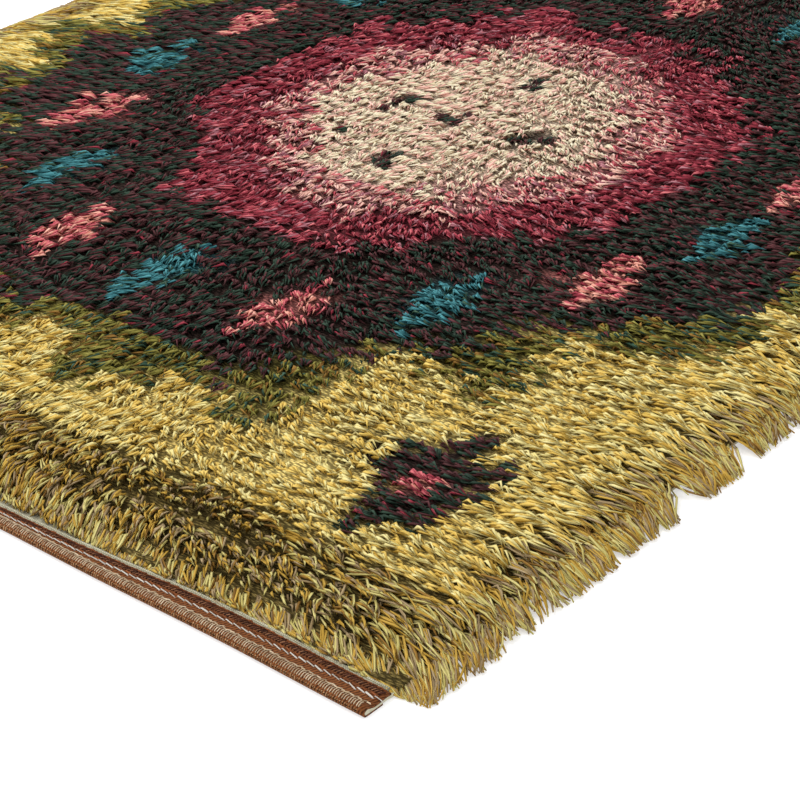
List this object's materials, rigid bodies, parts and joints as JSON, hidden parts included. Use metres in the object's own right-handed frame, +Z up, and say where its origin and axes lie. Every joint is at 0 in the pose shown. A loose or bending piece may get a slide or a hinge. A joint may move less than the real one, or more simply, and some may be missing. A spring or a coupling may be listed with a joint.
{
  "type": "pile rug",
  "caption": "Rectangular hand-knotted wool rug with a long shaggy pile, overhanging locks along both sides and a folded tape sewn over each end.",
  "frame": {"origin": "on the floor under the middle of the rug", "axes": "+Y along the rug's length from its near bound end to its far one, +X across its width, +Z up out of the pile"},
  "size_m": [1.124, 1.5936, 0.023],
  "materials": {
    "ground_wool": "matt undyed wool weave",
    "pile_wool": "soft two-ply wool pile with a slight sheen",
    "tape_cotton": "matt twill tape"
  },
  "bodies": {
    "root": {"ground_cloth": "ground_wool", "pile": "pile_wool", "near_end_tape": "tape_cotton", "far_end_tape": "tape_cotton"}
  },
  "joints": []
}
